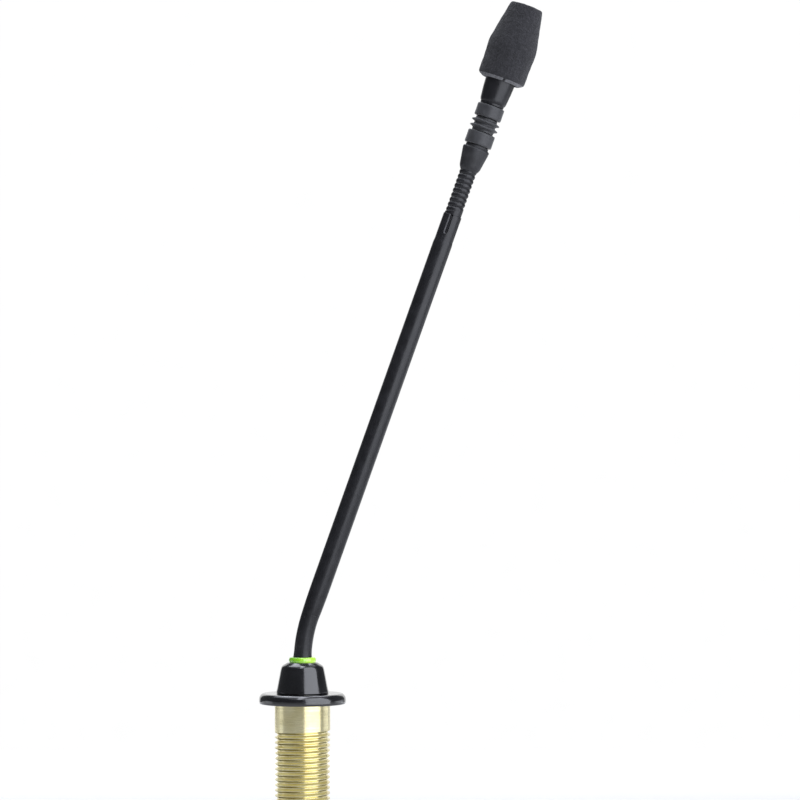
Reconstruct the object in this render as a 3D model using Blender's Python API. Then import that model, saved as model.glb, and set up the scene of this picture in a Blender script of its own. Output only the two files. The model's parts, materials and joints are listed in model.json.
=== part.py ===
"""A gooseneck microphone on a through-table flange mount, as separate named pieces.

Metres, +Z up. The origin is the centre of the flange's underside, on the axis of the threaded tube, and
+X is the way the stem leans. Outlines are written in millimetres and scaled by MM. Places on the neck,
stem and head are lengths along their common axis, measured from the lower end of the stem.
"""

import math

import bmesh
import bpy
from mathutils import Matrix, Vector

MM = 0.001
SIDES = 24  # of the large round pieces
FINE_SIDES = 16  # of the small round pieces
SMOOTH_BELOW = math.radians(35)

# The axis: upright in the base, an arc through the lower neck, then straight
LEAN = math.radians(19.58)
BEND_RADIUS = 57.3
BEND_START_Z = 16.5
BEND_LENGTH = BEND_RADIUS * LEAN

# Base
FLANGE_RADIUS = 17.4
FLANGE_THICKNESS = 4.15
FLANGE_BORE = 8.0
FLANGE_SEAT_RADIUS = 11.4  # counterbore that the tube's shoulder sits in
FLANGE_SEAT_DEPTH = 2.3
TUBE_RADIUS = 11.1
TUBE_BORE = 8.9
TUBE_END_Z = -92.0
SPIGOT_RADIUS = 7.7
SPIGOT_BORE = 6.2
SPIGOT_TOP_Z = 8.0
SPIGOT_BORE_END_Z = -6.0
THREAD_PITCH = 25.4 / 12
THREAD_ROOT = 9.95
THREAD_TURNS = 28
THREAD_SIDES = 18
THREAD_LOW_Z = -70.6
COLLAR_END_Z = -9.0
RING_RADIUS = 5.5
RING_LOW_Z = 16.7
RING_TOP_Z = 18.6
NECK_CLEARANCE_RADIUS = 3.9
LED_CIRCLE_RADIUS = 4.9
LED_COUNT = 4

# Board in the tube
BOARD_WIDTH = 12.6
BOARD_THICKNESS = 1.6
BOARD_TOP_Z = -8.0
BOARD_LOW_Z = -66.0
HOLDER_THICKNESS = 3.0
HOLDER_LOW_Z = (-16.0, -64.0)
HOLDER_RADIUS = 8.6
CAPACITOR_RADIUS = 2.5
CAPACITOR_SPREAD = 3.0

# Output connector in the tube's lower end
INSERT_TOP_Z = -72.5
INSERT_LOW_Z = -77.5
PIN_CIRCLE_RADIUS = 3.81
PIN_RADIUS = 1.2
PIN_END_Z = -89.5
SCREW_RADIUS = 1.0
SCREW_HOLE_RADIUS = 1.3
INSERT_SCREW_Z = -75.0
FERRULE_SCREW_Z = 10.9

# Clamp hardware on the thread
WASHER_RADIUS = 17.0
WASHER_BORE = 11.6
WASHER_THICKNESS = 1.5
RUBBER_WASHER_TOP_Z = -44.0
NUT_FLATS = 30.0
NUT_CORNER_RADIUS = 16.3
NUT_BORE = 11.45
NUT_THICKNESS = 6.0
PIECE_GAP = 0.3

# Flexible necks
LOWER_JOINTS = tuple(-BEND_LENGTH + 4.3 + 3.9 * i for i in range(4))
LOWER_GAP = 0.9
LOWER_LINK_RADIUS = 3.0
LOWER_LINK_END_RADIUS = 2.2
SKIN_RADIUS = 3.55
SKIN_BORE = 3.3
UPPER_NECK_START = 169.4
UPPER_NECK_LENGTH = 18.6
UPPER_STEP = UPPER_NECK_LENGTH / 6
UPPER_JOINTS = tuple(UPPER_NECK_START + UPPER_STEP * (i + 0.5) for i in range(6))
UPPER_GAP = 1.0
RIB_RADIUS = 3.45
RIB_ROOT_RADIUS = 3.05
RIB_END_RADIUS = 2.6
CABLE_RADIUS = 0.9
CABLE_BORE = 1.25

# Stem
STEM_RADIUS = 3.9
STEM_CRIMP_RADIUS = 3.75
STEM_BORE = 3.2
STEM_LENGTH = 169.4
CRIMP_LENGTH = 12.0
BUSHING_RADIUS = 2.9
BUSHING_LENGTH = 12.0
SLIT_LENGTH = 8.0
SLIT_HALF_WIDTH = 0.7
SLIT_SHIFT = -0.5

# Head
CAP_LOW = 244.3
CAP_TOP = 250.0
CAP_HOLE_RADIUS = 0.9
CAP_HOLE_CIRCLE = 3.2
CAP_HOLE_COUNT = 6
CONTACT_SPREAD = 2.0

FINISHES = {
    "black_gloss": ((0.012, 0.012, 0.014), 0.22, 0.0),
    "black_satin": ((0.016, 0.016, 0.02), 0.38, 0.0),
    "black_rubber": ((0.03, 0.03, 0.034), 0.75, 0.0),
    "brass": ((0.72, 0.58, 0.26), 0.28, 1.0),
    "steel": ((0.55, 0.55, 0.56), 0.32, 1.0),
    "green_ring": ((0.35, 0.85, 0.06), 0.35, 0.0),
    "led_white": ((0.85, 0.9, 0.8), 0.3, 0.0),
    "board_green": ((0.03, 0.2, 0.07), 0.5, 0.0),
    "dark_plastic": ((0.05, 0.05, 0.055), 0.55, 0.0),
    "cable_grey": ((0.1, 0.1, 0.11), 0.6, 0.0),
    "foam": ((0.04, 0.04, 0.045), 0.95, 0.0),
}

materials = {}
places = {}


def clear_scene():
    for obj in list(bpy.data.objects):
        bpy.data.objects.remove(obj, do_unlink=True)


def make_materials():
    for name, (colour, roughness, metallic) in FINISHES.items():
        material = bpy.data.materials.new(name)
        material.use_nodes = True
        shader = material.node_tree.nodes["Principled BSDF"]
        shader.inputs["Base Color"].default_value = (*colour, 1.0)
        shader.inputs["Roughness"].default_value = roughness
        shader.inputs["Metallic"].default_value = metallic
        materials[name] = material


def upright_frame(z):
    """The frame of the base's axis at height z, in metres."""
    return Matrix.Translation((0, 0, z * MM))


def axis_frame(s):
    """The frame of the neck's axis, s millimetres past the stem's lower end. Below that, s is negative."""
    angle = min(max(s + BEND_LENGTH, 0.0), BEND_LENGTH) / BEND_RADIUS
    x = BEND_RADIUS * (1 - math.cos(angle))
    z = BEND_START_Z + BEND_RADIUS * math.sin(angle)
    straight = max(s, 0.0) + min(s + BEND_LENGTH, 0.0)
    tilt = Matrix.Rotation(angle, 4, "Y")
    return Matrix.Translation((Vector((x, 0, z)) + tilt @ Vector((0, 0, straight))) * MM) @ tilt


def shifted(frame, x, y):
    """The same axis moved sideways by x and y millimetres in its own frame."""
    return lambda s: frame(s) @ Matrix.Translation((x * MM, y * MM, 0))


def radial_frame(frame, s, angle):
    """A frame whose +Z points out of the axis at s, at an angle about it."""
    outward = Matrix.Rotation(angle, 4, "Z") @ Matrix.Rotation(math.radians(90), 4, "Y")
    middle = frame(s) @ outward
    return lambda t: middle @ Matrix.Translation((0, 0, t * MM))


def attach(obj, place, parent):
    """Puts obj at a world place under a parent, keeping that place."""
    bpy.context.collection.objects.link(obj)
    places[obj.name] = place
    obj.matrix_basis = place
    if parent:
        obj.parent = parent
        obj.matrix_parent_inverse = places[parent.name].inverted()


def add_pivot(name, place, parent=None):
    """An empty on a joint's axis, which the pieces that move on that joint hang from."""
    empty = bpy.data.objects.new(name, None)
    attach(empty, place, parent)
    return empty


def add_piece(name, shape, finish, parent=None):
    """Turns a bmesh in world metres into the named object, with its origin at its parent's place."""
    place = places[parent.name] if parent else Matrix.Identity(4)
    bmesh.ops.recalc_face_normals(shape, faces=shape.faces)
    bmesh.ops.transform(shape, matrix=place.inverted(), verts=shape.verts)
    mesh = bpy.data.meshes.new(name)
    shape.to_mesh(mesh)
    shape.free()
    mesh.materials.append(materials[finish])
    mesh.shade_smooth()
    mesh.set_sharp_from_angle(angle=SMOOTH_BELOW)
    obj = bpy.data.objects.new(name, mesh)
    attach(obj, place, parent)
    return obj


def ring(shape, radius, frame, sides):
    """A ring of vertices about a frame's axis. The radius is a number, or a function of the angle."""
    points = []
    for i in range(sides):
        angle = 2 * math.pi * i / sides
        r = (radius(angle) if callable(radius) else radius) * MM
        points.append(shape.verts.new(frame @ Vector((r * math.cos(angle), r * math.sin(angle), 0))))
    return points


def bridge(shape, a, b):
    """Faces between two rings of the same count."""
    for i in range(len(a)):
        j = (i + 1) % len(a)
        shape.faces.new((a[i], a[j], b[j], b[i]))


def turn(shape, outline, frame, sides):
    """Rings at an outline's (radius, length) points about an axis, joined in order."""
    rings = [ring(shape, radius, frame(length), sides) for radius, length in outline]
    for a, b in zip(rings, rings[1:]):
        bridge(shape, a, b)
    return rings


def add_turned(name, outline, finish, parent=None, frame=upright_frame, sides=SIDES):
    """A hollow piece: the outline runs all the way round its wall."""
    shape = bmesh.new()
    rings = turn(shape, outline, frame, sides)
    bridge(shape, rings[-1], rings[0])
    return add_piece(name, shape, finish, parent)


def add_capped(name, outline, finish, parent=None, frame=upright_frame, sides=SIDES):
    """A piece whose first and last points are the rims of flat ends that close it on the axis."""
    shape = bmesh.new()
    rings = turn(shape, outline, frame, sides)
    shape.faces.new(rings[0])
    shape.faces.new(rings[-1])
    return add_piece(name, shape, finish, parent)


def add_rod(name, radius, start, end, finish, parent=None, frame=upright_frame, sides=FINE_SIDES, steps=1):
    """A solid round bar along an axis. The steps let it follow a bend."""
    side = [(radius, start + (end - start) * i / steps) for i in range(steps + 1)]
    return add_capped(name, side, finish, parent, frame, sides)


def add_tube(name, outer, bore, start, end, finish, parent=None, frame=upright_frame, sides=SIDES, steps=1):
    """A straight or bent tube along an axis."""
    stations = [start + (end - start) * i / steps for i in range(steps + 1)]
    outline = [(outer, s) for s in stations] + [(bore, s) for s in reversed(stations)]
    return add_turned(name, outline, finish, parent, frame, sides)


def add_block(name, low, high, finish, parent=None):
    """A box between two corners."""
    shape = bmesh.new()
    bmesh.ops.create_cube(shape, size=1.0)
    for vertex in shape.verts:
        for k in range(3):
            vertex.co[k] = (low[k] if vertex.co[k] < 0 else high[k]) * MM
    return add_piece(name, shape, finish, parent)


def hide_cutter(cutter):
    cutter.hide_render = True
    cutter.display_type = "WIRE"


def cut(target, cutter):
    """Takes the cutter's shape out of the target."""
    modifier = target.modifiers.new("cut_" + cutter.name, "BOOLEAN")
    modifier.operation = "DIFFERENCE"
    modifier.solver = "EXACT"
    modifier.object = cutter
    hide_cutter(cutter)


def thread(shape, low_ring, top_ring):
    """A right-hand V thread between two rings: rows of half a pitch, climbing one pitch in each turn."""
    rows = 2 * THREAD_TURNS
    columns = []
    for i in range(THREAD_SIDES):
        angle = 2 * math.pi * i / THREAD_SIDES
        column = []
        for k in range(rows + (3 if i == 0 else 1)):
            r = (TUBE_RADIUS if k % 2 else THREAD_ROOT) * MM
            z = (THREAD_LOW_Z + THREAD_PITCH * (k / 2 + i / THREAD_SIDES)) * MM
            column.append(shape.verts.new((r * math.cos(angle), r * math.sin(angle), z)))
        columns.append(column)
    # after a full turn the grid meets its first column two rows higher
    columns.append(columns[0][2:])
    low = [*low_ring, low_ring[0]]
    top = [*top_ring, top_ring[0]]
    for i in range(THREAD_SIDES):
        a, b = columns[i], columns[i + 1]
        for k in range(rows):
            shape.faces.new((a[k], b[k], b[k + 1], a[k + 1]))
    for i in range(THREAD_SIDES - 1):
        shape.faces.new((low[i], low[i + 1], columns[i + 1][0], columns[i][0]))
    for i in range(1, THREAD_SIDES):
        shape.faces.new((columns[i][rows], columns[i + 1][rows], top[i + 1], top[i]))
    # the two steps in the seam, where the thread starts and ends
    start = [low[-1], *columns[0][:3], columns[-2][0]]
    for p, q in zip(start, start[1:]):
        shape.faces.new((low[-2], p, q))
    end = [top[0], *reversed(columns[0][rows:rows + 3]), columns[1][rows]]
    for p, q in zip(end, end[1:]):
        shape.faces.new((top[1], p, q))


def add_threaded_tube():
    shape = bmesh.new()
    shoulder_z = FLANGE_SEAT_DEPTH - PIECE_GAP
    below = turn(shape, [
        (SPIGOT_BORE, SPIGOT_TOP_Z), (SPIGOT_BORE, SPIGOT_BORE_END_Z), (TUBE_BORE, SPIGOT_BORE_END_Z),
        (TUBE_BORE, TUBE_END_Z), (TUBE_RADIUS - 0.6, TUBE_END_Z), (TUBE_RADIUS, TUBE_END_Z + 0.6),
        (TUBE_RADIUS, THREAD_LOW_Z - 0.2),
    ], upright_frame, THREAD_SIDES)
    above = turn(shape, [
        (TUBE_RADIUS, COLLAR_END_Z), (TUBE_RADIUS, shoulder_z), (SPIGOT_RADIUS, shoulder_z),
        (SPIGOT_RADIUS, SPIGOT_TOP_Z),
    ], upright_frame, THREAD_SIDES)
    bridge(shape, above[-1], below[0])
    thread(shape, below[-1], above[0])
    tube = add_piece("threaded_tube", shape, "brass")
    hole = add_rod(
        "cutter_insert_screw", SCREW_HOLE_RADIUS, 7.0, 13.0, "brass",
        frame=radial_frame(upright_frame, INSERT_SCREW_Z, math.radians(90)),
    )
    cut(tube, hole)


def add_base_shells():
    add_turned("flange_plate", [
        (FLANGE_BORE, FLANGE_SEAT_DEPTH), (FLANGE_SEAT_RADIUS, FLANGE_SEAT_DEPTH), (FLANGE_SEAT_RADIUS, 0),
        (FLANGE_RADIUS - 0.5, 0), (FLANGE_RADIUS - 0.1, 0.15), (FLANGE_RADIUS, 0.6),
        (FLANGE_RADIUS, 3.3), (FLANGE_RADIUS - 0.2, 3.85), (FLANGE_RADIUS - 0.8, FLANGE_THICKNESS),
        (FLANGE_BORE, FLANGE_THICKNESS),
    ], "black_gloss")
    low = FLANGE_THICKNESS + PIECE_GAP
    housing = add_turned("cone_housing", [
        (10.4, low), (10.55, low + 0.3), (10.4, low + 0.8), (10.1, low + 1.3), (8.75, 13.7), (8.4, 14.7),
        (7.7, 15.4), (6.0, 16.4), (4.6, 16.4), (4.6, 15.7), (7.8, 13.4), (8.7, 5.0), (8.7, low),
    ], "black_gloss")
    hole = add_rod(
        "cutter_ferrule_screw", SCREW_HOLE_RADIUS, 7.0, 12.0, "black_gloss",
        frame=radial_frame(upright_frame, FERRULE_SCREW_Z, math.radians(90)),
    )
    cut(housing, hole)
    add_turned("light_ring", [
        (NECK_CLEARANCE_RADIUS, RING_LOW_Z), (RING_RADIUS, RING_LOW_Z), (RING_RADIUS, RING_TOP_Z - 0.5),
        (RING_RADIUS - 0.5, RING_TOP_Z), (NECK_CLEARANCE_RADIUS, RING_TOP_Z),
    ], "green_ring")


def add_neck_fixing():
    """What holds the lower neck in the cone housing, and the lights of the ring."""
    add_turned("neck_ferrule", [
        (LOWER_LINK_RADIUS + PIECE_GAP, 8.3), (7.0, 8.3), (7.0, 9.6), (5.8, 9.6), (5.8, 12.6),
        (LOWER_LINK_RADIUS + PIECE_GAP, 12.6),
    ], "steel")
    add_rod(
        "ferrule_screw", SCREW_RADIUS, 6.1, 9.0, "steel",
        frame=radial_frame(upright_frame, FERRULE_SCREW_Z, math.radians(90)),
    )
    add_tube("led_board", 6.0, NECK_CLEARANCE_RADIUS, 12.9, 13.7, "board_green")
    for i in range(LED_COUNT):
        angle = 2 * math.pi * (i + 0.5) / LED_COUNT
        x = LED_CIRCLE_RADIUS * math.cos(angle)
        y = LED_CIRCLE_RADIUS * math.sin(angle)
        add_block(f"led_{i + 1}", (x - 0.5, y - 0.5, 14.0), (x + 0.5, y + 0.5, 14.7), "led_white")
    root_end = LOWER_JOINTS[0] - LOWER_GAP / 2
    add_turned("lower_neck_root", [
        (CABLE_BORE, -BEND_LENGTH - 7.5), (LOWER_LINK_RADIUS, -BEND_LENGTH - 7.5),
        (LOWER_LINK_RADIUS, -BEND_LENGTH), (LOWER_LINK_RADIUS, root_end - 0.3),
        (LOWER_LINK_END_RADIUS, root_end), (CABLE_BORE, root_end), (CABLE_BORE, -BEND_LENGTH),
    ], "steel", frame=axis_frame, sides=FINE_SIDES)


def add_board():
    """The preamplifier's board in its two holders, and the large parts on its faces."""
    x = BOARD_WIDTH / 2
    y = BOARD_THICKNESS / 2
    add_block("preamp_board", (-x, -y, BOARD_LOW_Z), (x, y, BOARD_TOP_Z), "board_green")
    for name, low in zip(("upper_board_holder", "lower_board_holder"), HOLDER_LOW_Z):
        top = low + HOLDER_THICKNESS
        holder = add_rod(name, HOLDER_RADIUS, low, top, "dark_plastic", sides=SIDES)
        slot_x = x + PIECE_GAP
        slot_y = y + PIECE_GAP
        slot = add_block(
            "cutter_" + name, (-slot_x, -slot_y, low - 1), (slot_x, slot_y, top + 1), "dark_plastic",
        )
        cut(holder, slot)
    face = y + PIECE_GAP
    add_block("output_transformer", (-4.5, face, -36.0), (4.5, face + 5.0, -25.0), "dark_plastic")
    add_block("amplifier_chip", (-2.5, -face - 1.2, -24.0), (2.5, -face, -20.0), "dark_plastic")
    for name, offset in (("capacitor_1", -CAPACITOR_SPREAD), ("capacitor_2", CAPACITOR_SPREAD)):
        can = shifted(upright_frame, offset, face + CAPACITOR_RADIUS)
        add_rod(name, CAPACITOR_RADIUS, -48.0, -40.0, "dark_plastic", frame=can)


def add_base_cable():
    """The leads from the neck's lower end down to the face of the board."""
    curve = bpy.data.curves.new("base_cable", "CURVE")
    curve.dimensions = "3D"
    curve.bevel_depth = CABLE_RADIUS * MM
    curve.bevel_resolution = 2
    curve.use_fill_caps = True
    top, end = 8.0, -12.4
    offset = BOARD_THICKNESS / 2 + PIECE_GAP + CABLE_RADIUS + 0.1
    points = 12
    spline = curve.splines.new("POLY")
    spline.points.add(points - 1)
    for i, point in enumerate(spline.points):
        z = top + (end - top) * i / (points - 1)
        t = min(max((4.0 - z) / 11.0, 0.0), 1.0)
        point.co = (0, offset * t * t * (3 - 2 * t) * MM, z * MM, 1)
    curve.materials.append(materials["cable_grey"])
    attach(bpy.data.objects.new("base_cable", curve), Matrix.Identity(4), None)


def add_output_connector():
    """The insulator in the tube's lower end, its three pins and the screw that holds it."""
    radius = TUBE_BORE - PIECE_GAP
    insert = add_rod("output_insert", radius, INSERT_LOW_Z, INSERT_TOP_Z, "dark_plastic", sides=SIDES)
    for i, angle in enumerate((math.pi, 0.0, -math.pi / 2)):
        x = PIN_CIRCLE_RADIUS * math.cos(angle)
        y = PIN_CIRCLE_RADIUS * math.sin(angle)
        pin_axis = shifted(upright_frame, x, y)
        hole = add_rod(
            f"cutter_pin_{i + 1}", PIN_RADIUS + PIECE_GAP, INSERT_LOW_Z - 1, INSERT_TOP_Z + 1, "steel",
            frame=pin_axis,
        )
        cut(insert, hole)
        add_capped(f"output_pin_{i + 1}", [
            (PIN_RADIUS, INSERT_TOP_Z + 2), (PIN_RADIUS, PIN_END_Z + 1), (PIN_RADIUS / 2, PIN_END_Z),
        ], "brass", frame=pin_axis, sides=FINE_SIDES)
    add_rod(
        "insert_screw", SCREW_RADIUS, TUBE_BORE, TUBE_RADIUS - 0.1, "steel",
        frame=radial_frame(upright_frame, INSERT_SCREW_Z, math.radians(90)),
    )


def hexagon(angle):
    """The distance from a nut's axis to its flats at an angle."""
    return NUT_FLATS / 2 / math.cos((angle + math.pi / 6) % (math.pi / 3) - math.pi / 6)


def nut_end(angle):
    """The nut's outline where its corners are chamfered."""
    return min(hexagon(angle), NUT_CORNER_RADIUS)


def add_clamp():
    """The washers, which slide along the tube, and the nut, which turns on them."""
    washers = add_pivot("washers_slide", upright_frame(RUBBER_WASHER_TOP_Z))
    rubber_low = RUBBER_WASHER_TOP_Z - WASHER_THICKNESS
    add_tube(
        "rubber_washer", WASHER_RADIUS, WASHER_BORE, rubber_low, RUBBER_WASHER_TOP_Z, "black_rubber", washers,
    )
    steel_top = rubber_low - PIECE_GAP
    steel_low = steel_top - WASHER_THICKNESS
    add_tube("steel_washer", WASHER_RADIUS, WASHER_BORE, steel_low, steel_top, "steel", washers)
    top = steel_low - PIECE_GAP
    low = top - NUT_THICKNESS
    nut = add_pivot("nut_turn", upright_frame(top), washers)
    chamfer = 0.8
    add_turned("lock_nut", [
        (NUT_BORE, low), (nut_end, low), (hexagon, low + chamfer), (hexagon, top - chamfer), (nut_end, top),
        (NUT_BORE, top),
    ], "brass", nut, sides=24)


def link_outline(start, end, radius, end_radius, bevel):
    """A hollow link whose ends taper, so that it can tilt against its neighbours."""
    return [
        (CABLE_BORE, start), (end_radius, start), (radius, start + bevel), (radius, end - bevel),
        (end_radius, end), (CABLE_BORE, end),
    ]


def ribbed_outline(start, end):
    """A hollow link with two ribs."""
    middle = (start + end) / 2
    return [
        (CABLE_BORE, start), (RIB_END_RADIUS, start), (RIB_RADIUS, start + 0.35), (RIB_RADIUS, start + 0.65),
        (RIB_ROOT_RADIUS, middle), (RIB_RADIUS, end - 0.65), (RIB_RADIUS, end - 0.35), (RIB_END_RADIUS, end),
        (CABLE_BORE, end),
    ]


def add_lower_neck():
    """Three links between four joints, in a smooth skin. Returns the pivot that the stem hangs from."""
    pivot = None
    middle = None
    for i, joint in enumerate(LOWER_JOINTS):
        pivot = add_pivot(f"lower_joint_{i + 1}", axis_frame(joint), pivot)
        if i < len(LOWER_JOINTS) - 1:
            outline = link_outline(
                joint + LOWER_GAP / 2, LOWER_JOINTS[i + 1] - LOWER_GAP / 2,
                LOWER_LINK_RADIUS, LOWER_LINK_END_RADIUS, 0.3,
            )
            add_turned(f"lower_link_{i + 1}", outline, "steel", pivot, axis_frame, FINE_SIDES)
        if i == 1:
            middle = pivot
    skin_start = RING_LOW_Z + PIECE_GAP - BEND_START_Z - BEND_LENGTH
    add_tube(
        "lower_neck_skin", SKIN_RADIUS, SKIN_BORE, skin_start, -PIECE_GAP, "black_satin", middle, axis_frame,
        sides=FINE_SIDES, steps=6,
    )
    cable_start = 8.3 - BEND_START_Z - BEND_LENGTH
    add_rod("lower_cable", CABLE_RADIUS, cable_start, 0.5, "cable_grey", middle, axis_frame, sides=8, steps=8)
    return pivot


def slit_cutter(stem):
    """A flat bar with a round lower end that opens the stem's upper end towards -Y."""
    low = STEM_LENGTH - SLIT_LENGTH + SLIT_HALF_WIDTH
    outline = [(-SLIT_HALF_WIDTH, STEM_LENGTH + 1), (SLIT_HALF_WIDTH, STEM_LENGTH + 1)]
    steps = 8
    for i in range(steps + 1):
        angle = -math.pi * i / steps
        outline.append((SLIT_HALF_WIDTH * math.cos(angle), low + SLIT_HALF_WIDTH * math.sin(angle)))
    shape = bmesh.new()
    sheets = []
    for y in (-5.0, -2.0):
        sheets.append([
            shape.verts.new(axis_frame(s) @ Vector(((x + SLIT_SHIFT) * MM, y * MM, 0))) for x, s in outline
        ])
    bridge(shape, *sheets)
    for sheet in sheets:
        shape.faces.new(sheet)
    return add_piece("cutter_slit", shape, "black_satin", stem)


def add_stem(pivot):
    """The rigid tube between the two necks, with a slit in its top, and a bushing in each of its ends."""
    top, crimp = STEM_LENGTH, STEM_LENGTH - CRIMP_LENGTH
    sleeve = add_turned("stem_sleeve", [
        (STEM_BORE, 0), (STEM_RADIUS - 0.3, 0), (STEM_RADIUS, 0.5), (STEM_RADIUS, crimp),
        (STEM_CRIMP_RADIUS, crimp + 1), (STEM_CRIMP_RADIUS, top - 0.3), (STEM_CRIMP_RADIUS - 0.3, top),
        (STEM_BORE, top),
    ], "black_satin", pivot, axis_frame)
    cut(sleeve, slit_cutter(pivot))
    low = LOWER_JOINTS[-1] + LOWER_GAP / 2
    add_turned("lower_bushing", [
        (CABLE_BORE, low), (LOWER_LINK_END_RADIUS, low), (BUSHING_RADIUS, low + 0.3), (BUSHING_RADIUS, 0),
        (BUSHING_RADIUS, BUSHING_LENGTH), (CABLE_BORE, BUSHING_LENGTH), (CABLE_BORE, 0),
    ], "steel", pivot, axis_frame, FINE_SIDES)
    top = UPPER_JOINTS[0] - UPPER_GAP / 2
    low = STEM_LENGTH - BUSHING_LENGTH - 1
    add_turned("upper_bushing", [
        (CABLE_BORE, low), (BUSHING_RADIUS, low), (BUSHING_RADIUS, top - 0.3), (RIB_END_RADIUS, top),
        (CABLE_BORE, top),
    ], "black_satin", pivot, axis_frame, FINE_SIDES)
    add_rod("stem_cable", CABLE_RADIUS, 0.8, STEM_LENGTH + 0.2, "cable_grey", pivot, axis_frame, sides=10)


def add_upper_neck(pivot):
    """Five ribbed links between six joints. Returns the pivot that the head hangs from."""
    middle = None
    for i, joint in enumerate(UPPER_JOINTS):
        pivot = add_pivot(f"upper_joint_{i + 1}", axis_frame(joint), pivot)
        if i < len(UPPER_JOINTS) - 1:
            outline = ribbed_outline(joint + UPPER_GAP / 2, UPPER_JOINTS[i + 1] - UPPER_GAP / 2)
            add_turned(f"upper_link_{i + 1}", outline, "black_satin", pivot, axis_frame, FINE_SIDES)
        if i == 2:
            middle = pivot
    end = UPPER_NECK_START + UPPER_NECK_LENGTH - 0.4
    add_rod("upper_cable", CABLE_RADIUS, STEM_LENGTH + 0.5, end, "cable_grey", middle, axis_frame, sides=10)
    return pivot


def add_shock_mount(head):
    """The adapter on the neck, and the rubber bellows between its two collars."""
    low = UPPER_JOINTS[-1] + UPPER_GAP / 2
    add_turned("neck_adapter", [
        (CABLE_BORE, low), (RIB_END_RADIUS, low), (3.0, low + 0.35), (3.0, 187.9), (3.5, 188.1),
        (4.25, 189.5), (5.33, 196.1), (5.46, 197.3), (5.2, 197.65), (4.67, 197.9), (4.67, 198.8),
        (3.9, 198.8), (3.9, 203.0), (CABLE_BORE, 203.0),
    ], "dark_plastic", head, axis_frame)
    collars = (("lower_collar", 199.1, 204.3, 5.6), ("upper_collar", 210.6, 215.6, 5.55))
    for name, start, end, radius in collars:
        add_turned(name, [
            (4.2, start), (radius - 0.25, start), (radius, start + 0.3), (radius, end - 0.3),
            (radius - 0.25, end), (4.2, end),
        ], "black_rubber", head, axis_frame)
    neck, fin = 4.4, 5.5
    bellows = [(2.4, 204.6), (neck, 204.6)]
    for middle in (206.4, 208.7):
        bellows += [(neck, middle - 0.5), (fin, middle - 0.15), (fin, middle + 0.15), (neck, middle + 0.5)]
    bellows += [(neck, 210.3), (2.4, 210.3)]
    add_turned("shock_bellows", bellows, "black_rubber", head, axis_frame)


def add_capsule(head):
    add_turned("capsule_housing", [
        (CABLE_BORE, 211.2), (3.9, 211.2), (3.9, 215.9), (4.86, 215.9), (4.86, 216.8), (5.1, 217.0),
        (5.38, 217.7), (5.89, 222.6), (6.08, 225.8), (6.1, 244.0), (5.2, 244.0), (5.2, 227.0),
        (CABLE_BORE, 226.0),
    ], "black_satin", head, axis_frame)
    cap = add_capped("capsule_cap", [
        (5.7, CAP_TOP), (6.1, CAP_TOP - 0.4), (6.1, CAP_LOW), (5.2, CAP_LOW), (5.2, CAP_TOP - 0.9),
    ], "black_satin", head, axis_frame)
    for i in range(CAP_HOLE_COUNT):
        angle = 2 * math.pi * i / CAP_HOLE_COUNT
        hole_axis = shifted(axis_frame, CAP_HOLE_CIRCLE * math.cos(angle), CAP_HOLE_CIRCLE * math.sin(angle))
        hole = add_rod(
            f"cutter_cap_{i + 1}", CAP_HOLE_RADIUS, CAP_TOP - 2, CAP_TOP + 1, "steel", head, hole_axis,
            sides=12,
        )
        cut(cap, hole)
    add_rod("dust_screen", 4.9, 248.1, 248.7, "steel", head, axis_frame, sides=FINE_SIDES)
    add_tube("capsule_gasket", 4.9, 3.6, 246.6, 247.8, "black_rubber", head, axis_frame, sides=FINE_SIDES)
    add_rod("capsule_element", 4.8, 241.5, 246.3, "steel", head, axis_frame, sides=FINE_SIDES)
    for name, x in (("contact_pin_1", -CONTACT_SPREAD), ("contact_pin_2", CONTACT_SPREAD)):
        add_rod(name, 0.4, 236.2, 241.2, "brass", head, shifted(axis_frame, x, 0), sides=8)
    add_rod("capsule_board", 4.9, 234.8, 235.9, "board_green", head, axis_frame, sides=FINE_SIDES)
    add_rod("head_cable", CABLE_RADIUS, 187.9, 234.5, "cable_grey", head, axis_frame, sides=10)


def add_windscreen(head):
    pivot = add_pivot("windscreen_slide", axis_frame(226.2), head)
    add_capped("foam_windscreen", [
        (6.0, 258.0), (6.6, 257.0), (9.83, 241.7), (9.9, 238.6), (9.65, 235.8), (9.6, 227.6),
        (9.0, 226.6), (7.2, 226.2), (6.4, 226.2), (6.4, 250.6),
    ], "foam", pivot, axis_frame)


def main():
    clear_scene()
    make_materials()
    add_threaded_tube()
    add_base_shells()
    add_neck_fixing()
    add_board()
    add_base_cable()
    add_output_connector()
    add_clamp()
    stem = add_lower_neck()
    add_stem(stem)
    head = add_upper_neck(stem)
    add_shock_mount(head)
    add_capsule(head)
    add_windscreen(head)


main()
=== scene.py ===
"""The looks of a gooseneck microphone on a through-table flange mount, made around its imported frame.

Metres, +Z up, origin at the centre of the flange's underside. Outlines are (radius, length) points in
millimetres. Lengths on the upright base are heights. On the leaning stem and head they count along the
axis from the stem's lower end, and they are negative in the lower neck's bend.
"""

import json
import math

import bmesh
import bpy
from mathutils import Matrix, Vector, noise

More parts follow.
